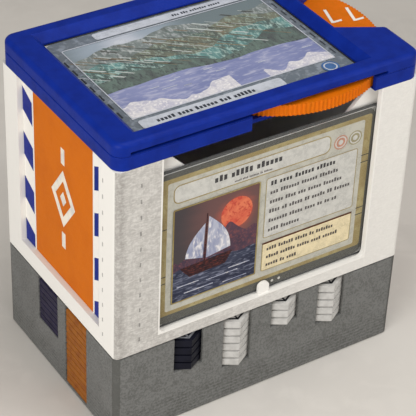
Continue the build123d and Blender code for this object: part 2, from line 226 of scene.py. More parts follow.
# ---- Front card: frame, title, badges and text boxes
FRONT_BORDER = (76, 75, 68)
FRONT_GOLD = (138, 120, 72)
FRONT_GOLD_PALE = (160, 147, 100)
FRONT_PARCHMENT = (184, 181, 168)
FRONT_PAPER = (198, 196, 189)
FRONT_TAN = (226, 210, 170)
FRONT_RED_LINE = (120, 66, 50)
FRONT_INK = (44, 40, 40)
FRONT_INK_SOFT = (78, 72, 70)
GOLD_PATCH = 10.0
FRAME_LEFT, FRAME_RIGHT = -43.6, 43.0
FRAME_AREA = ((FRAME_LEFT, -28.2), (FRAME_RIGHT, 29.2))
FRAME_CORNER = 1.2
FIELD_AREA = ((-40.4, -26.6), (40.0, 27.4))
FIELD_CORNER = 0.8
NOTCH_SIZE = (0.8, 1.0)
NOTCH_PLACES = [(FRAME_LEFT, v) for v in range(-24, 24, 4)]
DASH_SIZE = (3.2, 0.35)
DASH_PLACES = [(u, v) for u in (FRAME_LEFT, FRAME_RIGHT - DASH_SIZE[0]) for v in (-14, -11, 9, 12)]
PAGE_LEFT, PAGE_RIGHT, PAGE_FOOT, PAGE_TOP = -38.2, 38.0, -24.0, 16.2
PICTURE_RIGHT, TEXT_LEFT, WORDS_LEFT = -3.2, -0.8, 1.2
TITLE_AREA = ((PAGE_LEFT, 18.2), (25.8, 25.8))
TITLE_CORNER = 2.6
TITLE_LINE = 0.45
TITLE_WORDS = {"area": ((-22, 20.9), (12, 25.1)), "rows": 1, "height": 2.5, "seed": 4}
SUBTITLE_WORDS = {"area": ((-14, 18.8), (4, 20.6)), "rows": 1, "height": 0.8, "seed": 9}
# Each badge's centre and colour
BADGES = {"rose": ((30.0, 21.1), (186, 132, 108)), "khaki": ((36.2, 21.1), (150, 142, 108))}
BADGE_RADIUS = 2.9
BADGE_RINGS = (2.4, 1.9, 1.0)
TEXT_AREA = ((TEXT_LEFT, -9.4), (PAGE_RIGHT, PAGE_TOP))
TEXT_CORNER = 1.0
BOX_LINE = 0.3
LEAD_WORDS = {"area": ((WORDS_LEFT, 11.9), (34.0, 15.4)), "rows": 1, "height": 1.9, "seed": 2}
TEXT_WORDS = {"area": ((WORDS_LEFT, -8.2), (34.6, 11.8)), "rows": 5, "height": 1.6, "seed": 3}
TAN_AREA = ((TEXT_LEFT, PAGE_FOOT), (PAGE_RIGHT, -11.4))
TAN_CORNER = 0.8
TAN_TOP_LINE = 0.7
TAN_WORDS = {"area": ((WORDS_LEFT, -23.2), (35.0, -12.8)), "rows": 3, "height": 1.5, "seed": 7}
PIP_PLACES = ((4.5, -29.9), (7.5, -29.9))
PIP_RADIUS = 0.55

# ---- Front card's picture: two sails and a hull before a low red sun
SHIP_AREA = ((PAGE_LEFT, PAGE_FOOT), (PICTURE_RIGHT, PAGE_TOP))
SHIP_CORNER = 0.8
SHIP_LINE = 0.5
SHIP_SKY = ((172, 88, 72), (104, 76, 74), (70, 64, 66))
SHIP_SUN = ((196, 84, 66), (214, 120, 86), (178, 66, 56))
SHIP_HILLS = ((84, 62, 74), (66, 54, 68), (112, 70, 74))
SHIP_SEA = ((56, 60, 78), (40, 44, 62), (116, 120, 138))
SHIP_SAIL = ((186, 188, 200), (128, 134, 162), (218, 214, 214))
SHIP_HULL = ((50, 32, 36), (34, 26, 32), (104, 52, 44))
SUN_PLACE = (-12.5, 6.5)
SUN_RADIUS = 6.4
SUN_GLOW = 13.0
HILL_LINE = {"base": -9, "peak": 4, "seed": 11}
SEA_LINE = {"base": -11, "peak": -8.5, "seed": 5}
MAIN_SAIL = {"foot": (-24.4, -8.5), "top": (-23.8, 9.0), "clew": (-14.5, -7.0), "belly": 2.4}
FORE_SAIL = {"foot": (-25.8, -8.0), "top": (-25.2, 6.5), "clew": (-33.0, -6.0), "belly": -1.8}
HULL = [(-35.0, -9.6), (-13.5, -9.0), (-16.5, -13.8), (-31.0, -14.4)]
MAST = [(-25.3, -10.0), (-24.8, -10.0), (-24.3, 10.4), (-24.7, 10.4)]
# Each stroke's left end, height and length
FOAM = ((-36, -17.5, 9), (-24, -18.6, 13), (-15, -16.8, 9), (-33, -21.0, 12), (-17, -22.2, 10))
FOAM_WIDTH = 0.35
FOAM_CORNER = 0.15
SMALL_STEPS = 2

# ---- Card in the lid: ridges over a lake
TOP_BORDER = ((96, 106, 116), (96, 104, 112), (134, 142, 152))
TOP_PALE = (196, 200, 208)
TOP_INK = (54, 58, 66)
TOP_BADGE = (74, 110, 160)
TOP_SKY = ((190, 194, 204), (148, 160, 172), (104, 118, 122))
TOP_LAKE = ((114, 122, 166), (132, 138, 178), (164, 166, 192))
TOP_SNOW = ((214, 210, 212), (182, 180, 196), (232, 228, 226))
# Ridges from far to near: base, peak and colours
TOP_RIDGES = (
    (16.0, 24.0, ((122, 132, 130), (88, 96, 92), (168, 172, 172))),
    (8.0, 19.0, ((110, 112, 94), (78, 86, 80), (150, 164, 150))),
    (1.0, 13.0, ((92, 138, 136), (66, 84, 80), (164, 190, 182))),
    (-6.0, 6.0, ((70, 78, 76), (96, 116, 106), (54, 60, 62))),
)
TOP_RIDGE_SEED = 20
SCENE_LEFT, SCENE_RIGHT = -40.6, 40.6
TOP_AREA = ((SCENE_LEFT, -23.4), (SCENE_RIGHT, 25.4))
TOP_CORNER = 1.0
TOP_LINE = 0.4
TOP_BORDER_PATCH = 12.0
TOP_GLOW_PLACE = (-18, 20)
TOP_GLOW = 16.0
MOON_PLACE = (-19, 19.5)
MOON_RADIUS = 3.6
STREAK_COLOURS = ((124, 108, 82), (78, 104, 96), (196, 202, 198), (66, 66, 62))
STREAK_INSET = 3
STREAK_AREA = ((SCENE_LEFT + STREAK_INSET, -3), (SCENE_RIGHT - STREAK_INSET, 21))
STREAK_COUNT = 26
STREAK_LEAN = -1.3
STREAK_LENGTHS = (2.0, 8.0)
STREAK_WIDTHS = (0.3, 1.1)
STREAK_SEED = 60
LAKE_LINE = {"base": -8.5, "peak": -4.5, "seed": 31}
BANK_LINES = (
    {"base": -21.5, "peak": -13.0, "seed": 41, "span": (SCENE_LEFT, 2.0)},
    {"base": -22.0, "peak": -15.5, "seed": 44, "span": (14.0, SCENE_RIGHT)},
)
GLINT_AREA = ((-30, -14), (34, -8))
GLINT_COUNT = 9
GLINT_LENGTHS = (2, 6)
GLINT_WIDTH = 0.3
GLINT_CORNER = 0.14
GLINT_SEED = 8
TOP_TICK_ROWS = range(-21, 16, 6)
# Where a column of ticks stands, and the size of its ticks
TOP_LEFT_TICK = (-43.2, (0.6, 3.6))
TOP_RIGHT_TICK = (42.2, (0.4, 3.6))
FRONT_PLATE = ((-40.0, -30.2), (16.0, -25.0))
FRONT_PLATE_CORNER = 1.2
FRONT_PLATE_WORDS = {"area": ((-34, -29.4), (2, -25.8)), "rows": 1, "height": 2.0, "seed": 12}
BACK_PLATE = ((-26.0, 26.2), (41.0, 30.4))
BACK_PLATE_CORNER = 1.0
BACK_PLATE_WORDS = {"area": ((6, 27.1), (30, 29.5)), "rows": 1, "height": 1.4, "seed": 15}
TOP_BADGE_PLACE = (35.5, -27.6)
TOP_BADGE_RADIUS = 3.2
TOP_BADGE_RINGS = (2.5, 2.0)

# ---- Dial numbers, counted down from the one that shows, round a circle in from the dial's edge
NUMBER_COUNT = 10
NUMBER_SHOWN = 11
NUMBER_INSET = 8.1
# The angle of the first number's place, and the turn of each number on its own place
NUMBER_PLACE = 3.2
NUMBER_TURN = 159.6
DIGIT_HEIGHT = 9.8
DIGIT_PITCH = 8.4
STROKE_WIDTH = 1.2
FLAG_LENGTH = 3.2
FLAG_DROP = 0.9
NUMBER_THICKNESS = 0.05

# ---- Lines on the tokens' top faces
TOKEN_LINE_WIDTH = 0.75
TOKEN_LINE_INSET = 1.5
TOKEN_LINE_THICKNESS = 0.03
SPOKE_ANGLES = (-90, 30, 150)


def corners(name):
    """The low and high corner of a CAD node, in millimetres."""
    low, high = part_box(name)
    return Vector(low) / MM, Vector(high) / MM


# ---- Places on the box and the front card in millimetres, taken from the frame
box_low, box_high = corners("deck_box")
drawer_top = corners("token_drawer")[1].z
card_low, card_high = corners("front_card")


def linear(colour):
    """An sRGB colour, 0 to 255, as linear values with full alpha."""
    shares = [value / 255 for value in colour]
    values = [v / 12.92 if v <= 0.04045 else ((v + 0.055) / 1.055) ** 2.4 for v in shares]
    return (*values, 1.0)


def shaded(colour, share):
    """A colour brought down to a share of itself."""
    return tuple(value * share for value in colour)


# ---- Materials

class Finish:
    """A material in the making, with short calls that add and join shader nodes."""

    def __init__(self, name, roughness, specular=PLASTIC_GLOSS):
        self.material = bpy.data.materials.new(name)
        self.material.use_nodes = True
        self.tree = self.material.node_tree
        self.shader = next(n for n in self.tree.nodes if n.type == "BSDF_PRINCIPLED")
        self.shader.inputs["Roughness"].default_value = roughness
        self.shader.inputs["Specular IOR Level"].default_value = specular
        coordinates = self.tree.nodes.new("ShaderNodeTexCoord")
        self.place = coordinates.outputs["Object"]
        self.facing = coordinates.outputs["Normal"]

    def put(self, socket, value):
        """Links a socket to another's value, or sets it."""
        if isinstance(value, bpy.types.NodeSocket):
            self.tree.links.new(value, socket)
        else:
            socket.default_value = value

    def math(self, operation, *values):
        """One arithmetic node."""
        node = self.tree.nodes.new("ShaderNodeMath")
        node.operation = operation
        for socket, value in zip(node.inputs, values):
            self.put(socket, value)
        return node.outputs[0]

    def scaled(self, value, by, plus=0.0):
        """A value times a factor, plus another value."""
        return self.math("MULTIPLY_ADD", value, by, plus)

    def product(self, first, *others):
        """Values multiplied together."""
        for other in others:
            first = self.math("MULTIPLY", first, other)
        return first

    def axes(self, vector):
        """The X, Y and Z of a vector."""
        node = self.tree.nodes.new("ShaderNodeSeparateXYZ")
        self.put(node.inputs[0], vector)
        return node.outputs

    def stretched(self, stretch):
        """The place, scaled along each axis."""
        node = self.tree.nodes.new("ShaderNodeMapping")
        self.put(node.inputs["Vector"], self.place)
        node.inputs["Scale"].default_value = stretch
        return node.outputs[0]

    def noise(self, size, detail=2.0, stretch=(1, 1, 1), distortion=0.0):
        """Noise with features about that many millimetres across."""
        node = self.tree.nodes.new("ShaderNodeTexNoise")
        self.put(node.inputs["Vector"], self.stretched(stretch))
        node.inputs["Scale"].default_value = 1 / (size * MM)
        node.inputs["Detail"].default_value = detail
        node.inputs["Distortion"].default_value = distortion
        return node.outputs[0]

    def between(self, value, low, high):
        """0 at low and 1 at high, clamped and smooth."""
        node = self.tree.nodes.new("ShaderNodeMapRange")
        node.interpolation_type = "SMOOTHSTEP"
        for name, amount in (("Value", value), ("From Min", low), ("From Max", high)):
            self.put(node.inputs[name], amount)
        return node.outputs[0]

    def blend(self, share, first, second):
        """A mix of two colours, on the sockets that the node enables for colours."""
        node = self.tree.nodes.new("ShaderNodeMix")
        node.data_type = "RGBA"
        sockets = [s for s in node.inputs if s.enabled]
        for socket, value in zip(sockets, (share, first, second)):
            self.put(socket, value)
        return next(s for s in node.outputs if s.enabled)

    def colour(self, value):
        """Sets the surface's colour."""
        self.put(self.shader.inputs["Base Color"], value)

    def rounded_edges(self, radius=EDGE_RADIUS):
        """A normal that softens sharp edges."""
        node = self.tree.nodes.new("ShaderNodeBevel")
        node.samples = EDGE_SAMPLES
        node.inputs["Radius"].default_value = radius * MM
        return node.outputs[0]

    def bump(self, height, depth, normal=None):
        """Raises the surface by height, 0 to 1, times depth in millimetres."""
        node = self.tree.nodes.new("ShaderNodeBump")
        self.put(node.inputs["Height"], height)
        node.inputs["Distance"].default_value = depth * MM
        if normal is not None:
            self.put(node.inputs["Normal"], normal)
        self.put(self.shader.inputs["Normal"], node.outputs[0])

    def stripes(self, value, pitch):
        """A soft wave, 0 to 1, that repeats every pitch millimetres."""
        turns = self.math("MULTIPLY", value, 2 * math.pi / (pitch * MM))
        return self.scaled(self.math("SINE", turns), by=0.5, plus=0.5)

    def offset(self, value, middle):
        """The distance from a place in millimetres."""
        return self.math("ABSOLUTE", self.math("SUBTRACT", value, middle * MM))

    def within(self, value, low, high):
        """1 between two places in millimetres and 0 outside."""
        above = self.math("GREATER_THAN", value, low * MM)
        below = self.math("LESS_THAN", value, high * MM)
        return self.product(above, below)


def printed_plastic(name, colour, shade, roughness=0.5, mottle=3.0, depth=LAYER_DEPTH):
    """Printed plastic: fine layer lines, a faint mottle of two shades and a slight grain."""
    finish = Finish(name, roughness)
    spots = finish.between(finish.noise(mottle, detail=4), *MOTTLE_SPREAD)
    finish.colour(finish.blend(spots, linear(colour), linear(shade)))
    layers = finish.stripes(finish.axes(finish.place)[2], LAYER_PITCH)
    height = finish.math("ADD", layers, finish.noise(PLASTIC_GRAIN, detail=3))
    finish.bump(height, depth, finish.rounded_edges())
    patches = finish.noise(ROUGH_PATCH, detail=3)
    uneven = finish.scaled(patches, by=ROUGH_SPREAD, plus=roughness - ROUGH_SPREAD / 2)
    finish.put(finish.shader.inputs["Roughness"], uneven)
    return finish.material


def skin_area(finish, place, normal):
    """1 on the outer front and back faces, but not in or opposite the card window, nor on a thin rim
    round it that is left white as a painted highlight.
    """
    outer = finish.math("ABSOLUTE", place[1])
    outer = finish.math("GREATER_THAN", outer, (box_high.y - SKIN_INSET) * MM)
    facing = finish.between(finish.math("ABSOLUTE", normal[1]), *SKIN_FACING)
    window_x = (card_low.x + card_high.x) / 2
    window_half = (card_high.x - card_low.x) / 2 - WINDOW_LAP
    aside = finish.math("SUBTRACT", finish.offset(place[0], window_x), window_half * MM)
    below = finish.math("SUBTRACT", (drawer_top + WINDOW_SILL) * MM, place[2])
    # Painted highlight: the skin stays off a thin rim round the window
    away = finish.math("GREATER_THAN", finish.math("MAXIMUM", aside, below), WINDOW_RIM_HIGHLIGHT * MM)
    return finish.product(facing, outer, away)


def skin_weave(finish):
    """Level threads, crossed by weaker upright ones."""
    upright = finish.noise(**UPRIGHT_THREADS)
    level = finish.noise(**LEVEL_THREADS)
    return finish.scaled(level, by=LEVEL_SHARE, plus=finish.scaled(upright, by=1 - LEVEL_SHARE))


def skin_tone(finish, place, weave):
    """How grey the skin is: most at the left corner, with painted shade, less on its threads and to
    the right.
    """
    # Painted shade: the skin greys towards the rounded left corner
    corner_shade_start, corner_shade_end = ((box_low.x + inset) * MM for inset in CORNER_SHADE_BAND)
    band = finish.between(place[0], corner_shade_start, corner_shade_end)
    tone = finish.scaled(band, by=CORNER_SHADE_TONE, plus=SKIN_TONE)
    patches = finish.between(finish.noise(PATCH_SIZE, detail=4), *PATCH_SPREAD)
    tone = finish.scaled(patches, by=PATCH_TONE, plus=tone)
    tone = finish.scaled(finish.between(weave, *THREAD_SPREAD), by=-THREAD_TONE, plus=tone)
    right, left = (box_high.x - WEAR_RIGHT) * MM, (box_low.x + WEAR_LEFT) * MM
    wear = finish.between(place[0], right, left)
    return finish.product(tone, finish.scaled(wear, by=1 - WEAR_LEAST, plus=WEAR_LEAST))


def seam_marks(finish, along, middle):
    """1 on a column of short upright dashes that repeat with the height: small notches that get
    painted shade.
    """
    height = finish.axes(finish.place)[2]
    noise = finish.noise(SEAM_WOBBLE_SIZE)
    wobble = finish.scaled(noise, by=SEAM_WOBBLE * MM, plus=-SEAM_WOBBLE / 2 * MM)
    across = finish.math("ADD", along, wobble)
    column = finish.within(across, middle - SEAM_WIDTH / 2, middle + SEAM_WIDTH / 2)
    turns = finish.math("DIVIDE", finish.math("ADD", height, SEAM_SHIFT * MM), SEAM_PITCH * MM)
    dash = finish.math("LESS_THAN", finish.math("FRACT", turns), SEAM_SHARE)
    span = finish.within(height, drawer_top + SEAM_FROM_DRAWER, box_high.z - SEAM_FROM_TOP)
    return finish.product(column, dash, span)


def corner_marks(finish, place, normal):
    """The dashes beside the front left corner, on the front and on the left side, where the notches
    get painted shade.
    """
    front = finish.math("LESS_THAN", normal[1], -SEAM_FACING)
    left = finish.math("LESS_THAN", normal[0], -SEAM_FACING)
    front_marks = seam_marks(finish, place[0], box_low.x + SEAM_FROM_LEFT)
    left_marks = seam_marks(finish, place[1], box_low.y + SEAM_FROM_FRONT)
    front_marks = finish.product(front_marks, front)
    return finish.math("MAXIMUM", front_marks, finish.product(left_marks, left))


def box_white():
    """White plastic, smooth on the sides and with a fuzzy woven skin on the front and back."""
    finish = Finish("box_white", roughness=0.6)
    normal = finish.axes(finish.facing)
    place = finish.axes(finish.place)
    area = skin_area(finish, place, normal)
    weave = skin_weave(finish)
    share = finish.product(skin_tone(finish, place, weave), area)
    skin = finish.blend(share, linear(WHITE_PLASTIC), linear(WHITE_FUZZ))
    notch_shade = corner_marks(finish, place, normal)
    # Painted shade: the notch dashes are sunk by the bump and darkened towards dark grey
    finish.colour(finish.blend(finish.scaled(notch_shade, by=SEAM_NOTCH_SHADE), skin, linear(GREY_DARK)))
    layers = finish.scaled(finish.stripes(place[2], LAYER_PITCH), by=SKIN_LAYERS)
    raised = finish.math("ADD", layers, finish.product(weave, area))
    finish.bump(finish.math("SUBTRACT", raised, notch_shade), SKIN_DEPTH, finish.rounded_edges())
    return finish.material


def drawer_grey():
    """Grey plastic with a fine speckle, painted shade on its rounded corners and wider layer lines
    near its foot.
    """
    finish = Finish("drawer_grey", roughness=0.6)
    place = finish.axes(finish.place)
    normal = finish.axes(finish.facing)
    speckle = finish.between(finish.noise(SPECKLE_SIZE, detail=4), *SPECKLE_SPREAD)
    clouds = finish.between(finish.noise(CLOUD_SIZE, detail=3), *CLOUD_SPREAD)
    tone = finish.scaled(speckle, by=SPECKLE_TONE, plus=finish.scaled(clouds, by=CLOUD_TONE))
    start, end = (height * MM for height in DRAWER_LINE_FADE)
    fade = finish.math("SUBTRACT", 1.0, finish.between(place[2], start, end))
    lines = finish.product(finish.stripes(place[2], DRAWER_LINE_PITCH), fade)
    tone = finish.scaled(lines, by=DRAWER_LINE_TONE, plus=tone)
    # Painted shade: faces turned between sideways and forwards, on the rounded corners, are darkened
    sideways, forwards = (finish.math("ABSOLUTE", normal[axis]) for axis in (0, 1))
    corner = finish.between(finish.math("MINIMUM", sideways, forwards), *DRAWER_CORNER_FACING)
    tone = finish.scaled(corner, by=DRAWER_CORNER_SHADE, plus=tone)
    finish.colour(finish.blend(tone, linear(GREY_PLASTIC), linear(GREY_DARK)))
    fine = finish.scaled(finish.stripes(place[2], LAYER_PITCH), by=DRAWER_LAYERS)
    height = finish.math("ADD", finish.math("ADD", fine, speckle), lines)
    finish.bump(height, DRAWER_DEPTH, finish.rounded_edges())
    return finish.material


def film():
    """Clear glossy film with a faint haze."""
    finish = Finish("clear_film", roughness=0.12, specular=0.35)
    haze = finish.noise(FILM_STREAK, detail=2, stretch=(0.2, 1, 1))
    finish.colour(finish.blend(haze, linear(FILM_TINT), linear(WHITE_PLASTIC)))
    finish.shader.inputs["Alpha"].default_value = FILM_ALPHA
    finish.bump(finish.noise(FILM_WAVE, detail=2), FILM_DEPTH)
    return finish.material


def metal():
    """Nickel-plated metal with fine turning marks."""
    finish = Finish("magnet", roughness=0.28, specular=0.5)
    finish.shader.inputs["Metallic"].default_value = 1.0
    wear = finish.noise(METAL_WEAR, detail=4)
    finish.colour(finish.blend(wear, linear(MAGNET_GREY), linear(GREY_PLASTIC)))
    finish.bump(finish.noise(METAL_GRAIN, detail=3), METAL_DEPTH, finish.rounded_edges(METAL_EDGE))
    return finish.material


def painted(name, colours, size, stretch=(1, 1, 1), roughness=PICTURE_ROUGHNESS):
    """A printed picture area: three colours that run into each other like brush work."""
    finish = Finish(name, roughness)
    broad = finish.noise(size, detail=4, stretch=stretch, distortion=0.6)
    fine = finish.noise(size / FINE_TIMES, detail=3, stretch=stretch, distortion=0.6)
    first, second, third = (linear(c) for c in colours)
    ground = finish.blend(finish.between(broad, *BROAD_SPREAD), first, second)
    finish.colour(finish.blend(finish.between(fine, *FINE_SPREAD), ground, third))
    finish.bump(finish.noise(PAPER_GRAIN, detail=2), PAPER_DEPTH)
    return finish.material


def ink(name, colour):
    """One printed colour with the faint unevenness of ink on card."""
    return painted(name, (colour, shaded(colour, INK_SHADE), colour), size=INK_PATCH)


def glow(name, centre, radius, inner, middle, outer):
    """A printed sky that glows round one point."""
    finish = Finish(name, PICTURE_ROUGHNESS)
    distance = finish.tree.nodes.new("ShaderNodeVectorMath")
    distance.operation = "DISTANCE"
    finish.put(distance.inputs[0], finish.place)
    distance.inputs[1].default_value = centre
    reach = radius * MM
    wisps = finish.noise(GLOW_WISP, detail=4, stretch=(0.35, 1, 1), distortion=0.8)
    away = finish.scaled(wisps, by=GLOW_WOBBLE * reach, plus=distance.outputs["Value"])
    near = finish.between(away, GLOW_CORE * reach, reach)
    far = finish.between(away, reach, GLOW_REACH * reach)
    warm = finish.blend(near, linear(inner), linear(middle))
    finish.colour(finish.blend(far, warm, linear(outer)))
    finish.bump(finish.noise(PAPER_GRAIN, detail=2), PAPER_DEPTH)
    return finish.material


def dress(material, *names):
    """Gives CAD nodes a finish."""
    for name in names:
        for material_slot in nodes[name].material_slots:
            material_slot.material = material


def dress_panels():
    """The finishes of both side panels and their inlays."""
    depth = PANEL_LAYER_DEPTH
    white = printed_plastic("panel_white", WHITE_SMOOTH, WHITE_PLASTIC, depth=depth)
    band = printed_plastic("band_orange", BAND_ORANGE, BAND_SHADE, mottle=9.0, depth=depth)
    stripe = printed_plastic("stripe_blue", STRIPE_BLUE, LID_BLUE_DARK, mottle=5.0, depth=depth)
    cream = printed_plastic("motif_cream", MOTIF_CREAM, WHITE_SHADE, mottle=5.0, depth=depth)
    for side in ("left", "right"):
        dress(white, f"{side}_panel")
        dress(band, f"{side}_band")
        dress(stripe, f"{side}_stripes")
        dress(cream, f"{side}_motif")


def dress_tokens():
    """The finishes of the tokens and tiles."""
    navy_token = printed_plastic("token_navy", NAVY_TOKEN, NAVY_TOKEN_SHADE, roughness=0.42)
    dress(navy_token, "navy_tokens_front")
    white_token = printed_plastic("token_white", WHITE_TOKEN, WHITE_TOKEN_SHADE, roughness=0.45)
    dress(white_token, "white_tokens_left", "white_tokens_middle", "white_tokens_right")
    navy_tile = printed_plastic("tile_navy", NAVY_TILE, NAVY_TILE_SHADE, roughness=0.45)
    dress(navy_tile, "navy_tiles_left", "navy_tiles_right")
    orange_tile = printed_plastic("tile_orange", ORANGE_TILE, ORANGE_TILE_SHADE)
    dress(orange_tile, "orange_tiles_left", "orange_tiles_right")


def dress_solids():
    """The finishes of all the box's own pieces."""
    dress(box_white(), "deck_box")
    dress(drawer_grey(), "token_drawer")
    blue = printed_plastic("lid_blue", LID_BLUE, LID_BLUE_DARK, roughness=0.42, mottle=6.0)
    dress(blue, "lid_base", "lid_cover")
    dress(printed_plastic("dial_orange", DIAL_ORANGE, BAND_ORANGE), "dial")
    dress(printed_plastic("pin_white", PIN_WHITE, WHITE_SHADE), "dial_axle")
    dress_panels()
    dress_tokens()
    dress(film(), "front_sleeve", "top_sleeve")
    dress(ink("card_paper", CARD_PAPER), "front_card", "top_card")
    dress(metal(), "drawer_magnets", "floor_magnets", "box_magnets", "lid_magnets")


# ---- Flat printed shapes

def settle(name, mesh, material, body):
    """A finished mesh becomes a piece that rides on a body."""
    mesh.name = name
    mesh.materials.clear()
    mesh.materials.append(material)
    piece = bpy.data.objects.new(name, mesh)
    bpy.context.scene.collection.objects.link(piece)
    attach(piece, body)


def flat_mesh(loops, thickness):
    """A thin plate from closed loops of points in millimetres. A loop inside another is a hole."""
    curve = bpy.data.curves.new("outline", "CURVE")
    curve.dimensions = "2D"
    curve.fill_mode = "BOTH"
    curve.extrude = thickness * MM / 2
    for loop in loops:
        spline = curve.splines.new("POLY")
        spline.points.add(len(loop) - 1)
        for point, (u, v) in zip(spline.points, loop):
            point.co = (u * MM, v * MM, 0, 1)
        spline.use_cyclic_u = True
    holder = bpy.data.objects.new("outline", curve)
    mesh = bpy.data.meshes.new_from_object(holder)
    bpy.data.objects.remove(holder)
    bpy.data.curves.remove(curve)
    return mesh


def rounded(low, high, radius=0.0, steps=5):
    """A rectangle with rounded corners, as one loop."""
    (left, bottom), (right, top) = low, high
    if radius == 0:
        return [(left, bottom), (right, bottom), (right, top), (left, top)]
    loop = []
    centres = (
        (right - radius, bottom + radius, -90),
        (right - radius, top - radius, 0),
        (left + radius, top - radius, 90),
        (left + radius, bottom + radius, 180),
    )
    for u, v, start in centres:
        for step in range(steps + 1):
            angle = math.radians(start + 90 * step / steps)
            loop.append((u + radius * math.cos(angle), v + radius * math.sin(angle)))
    return loop


def blocks(places, size):
    """A square-cornered rectangle of one size at each place."""
    return [rounded((u, v), (u + size[0], v + size[1])) for u, v in places]


def round_loop(place, radius, steps=32):
    """A circle as one loop."""
    u, v = place
    angles = [2 * math.pi * step / steps for step in range(steps)]
    return [(u + radius * math.cos(angle), v + radius * math.sin(angle)) for angle in angles]


def ring(low, high, radius, width):
    """A rectangular line of some width, as two loops."""
    inner_low = (low[0] + width, low[1] + width)
    inner_high = (high[0] - width, high[1] - width)
    inner_radius = max(radius - width, 0.2)
    return [rounded(low, high, radius), rounded(inner_low, inner_high, inner_radius)]


def word_bars(area, rows, height, seed):
    """Rows of upright ticks in groups, in place of words. The last of several rows is a short one."""
    chance = random.Random(seed)
    (left, bottom), (right, top) = area
    pitch = (top - bottom) / rows
    tick, gap = height * TICK_SHARE, height * TICK_GAP
    bars = []
    for row in range(rows):
        foot = top - pitch * (row + 0.5) - height / 2
        short = rows > 1 and row == rows - 1
        limit = left + (right - left) * (chance.uniform(*SHORT_ROW) if short else 1.0)
        at = left
        while at < limit - ROW_END * height:
            for _ in range(chance.randint(*WORD_LETTERS)):
                tall = height * chance.choice(TICK_HEIGHTS)
                bars.append(rounded((at, foot), (at + tick, foot + tall)))
                at += tick + gap
            at += WORD_GAP * height
    return bars


def ridge(left, right, base, peak, floor, seed):
    """A hill line from left to right, closed along the floor."""
    chance = random.Random(seed)
    waves = [
        (chance.uniform(*RIDGE_STRETCH) * count, chance.uniform(0, 2 * math.pi), 1 / count)
        for count in RIDGE_WAVES
    ]
    total = sum(weight for _, _, weight in waves)
    loop = []
    for step in range(RIDGE_STEPS + 1):
        share = step / RIDGE_STEPS
        lift = sum(w * math.sin(2 * math.pi * f * share + p) for f, p, w in waves) / total
        height = base + (peak - base) * (0.5 + 0.5 * lift)
        loop.append((left + (right - left) * share, height))
    return [*loop, (right, floor), (left, floor)]


def clipped(loop, low, high):
    """A loop kept inside a rectangle."""
    return [(min(max(u, low[0]), high[0]), min(max(v, low[1]), high[1])) for u, v in loop]


def land(area, base, peak, seed, span=None):
    """A hill line across an area, or across a span of it, filled down to the area's foot."""
    low, high = area
    left, right = span or (low[0], high[0])
    return clipped(ridge(left, right, base, peak, low[1], seed), low, high)


class Sheet:
    """A card's printed face: shapes are laid on it in thin layers, in millimetres from its centre."""

    def __init__(self, name, body, place):
        self.name = name
        self.body = body
        self.place = place
        self.layer = 0

    def lay(self, name, loops, material):
        """Prints one shape above all the earlier ones."""
        mesh = flat_mesh(loops, PRINT_LAYER)
        self.layer += 1
        height = Matrix.Translation((0, 0, (self.layer + 0.5) * PRINT_LAYER * MM))
        mesh.transform(self.place @ height)
        settle(f"{self.name}_{name}", mesh, material, self.body)

    def plate(self, name, area, corner, material):
        """Prints a filled rectangle."""
        self.lay(name, [rounded(*area, corner)], material)

    def line(self, name, area, corner, width, material):
        """Prints a line inside a rectangle's edge."""
        self.lay(name, ring(*area, corner, width), material)

    def words(self, name, words, material):
        """Prints rows of ticks."""
        self.lay(name, word_bars(**words), material)

    def point(self, place):
        """A place on the sheet, in the frame's metres."""
        return self.place @ Vector((place[0] * MM, place[1] * MM, 0))


def card_area(low, high, inset=0.0):
    """The face of a card whose box is given in metres, as two corners about its centre."""
    width, height = sorted(((h - l) / MM for l, h in zip(low, high)), reverse=True)[:2]
    u, v = width / 2 - inset, height / 2 - inset
    return (-u, -v), (u, v)


# ---- Front card: a ship at dusk beside two text boxes, in a gold frame

def front_card_place():
    """From a sheet's millimetres to the upright card's face."""
    low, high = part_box("front_card")
    turn = Matrix(((1, 0, 0), (0, 0, -1), (0, 1, 0))).to_4x4()
    return Matrix.Translation(((low[0] + high[0]) / 2, low[1], (low[2] + high[2]) / 2)) @ turn


def print_front_title(sheet, paper, gold, dark, soft):
    """The title plate and two round badges beside it."""
    sheet.plate("title_plate", TITLE_AREA, TITLE_CORNER, paper)
    sheet.line("title_line", TITLE_AREA, TITLE_CORNER, TITLE_LINE, gold)
    sheet.words("title", TITLE_WORDS, dark)
    sheet.words("subtitle", SUBTITLE_WORDS, soft)
    for name, (place, colour) in BADGES.items():
        tone = ink(f"front_badge_{name}", colour)
        sheet.lay(f"badge_{name}", [round_loop(place, BADGE_RADIUS)], tone)
        rings = [round_loop(place, radius) for radius in BADGE_RINGS]
        sheet.lay(f"badge_{name}_rings", rings, paper)


def print_front_text(sheet, paper, gold, dark, soft):
    """The pale text box and the tan one below it."""
    sheet.plate("text_box", TEXT_AREA, TEXT_CORNER, paper)
    sheet.line("text_line", TEXT_AREA, TEXT_CORNER, BOX_LINE, gold)
    sheet.words("text_lead", LEAD_WORDS, dark)
    sheet.words("text", TEXT_WORDS, soft)
    sheet.plate("tan_box", TAN_AREA, TAN_CORNER, ink("front_tan", FRONT_TAN))
    sheet.line("tan_line", TAN_AREA, TAN_CORNER, BOX_LINE, gold)
    (left, _), (right, top) = TAN_AREA
    red_area = ((left, top - TAN_TOP_LINE), (right, top))
    sheet.plate("tan_top", red_area, 0, ink("front_red", FRONT_RED_LINE))
    sheet.words("tan_text", TAN_WORDS, soft)


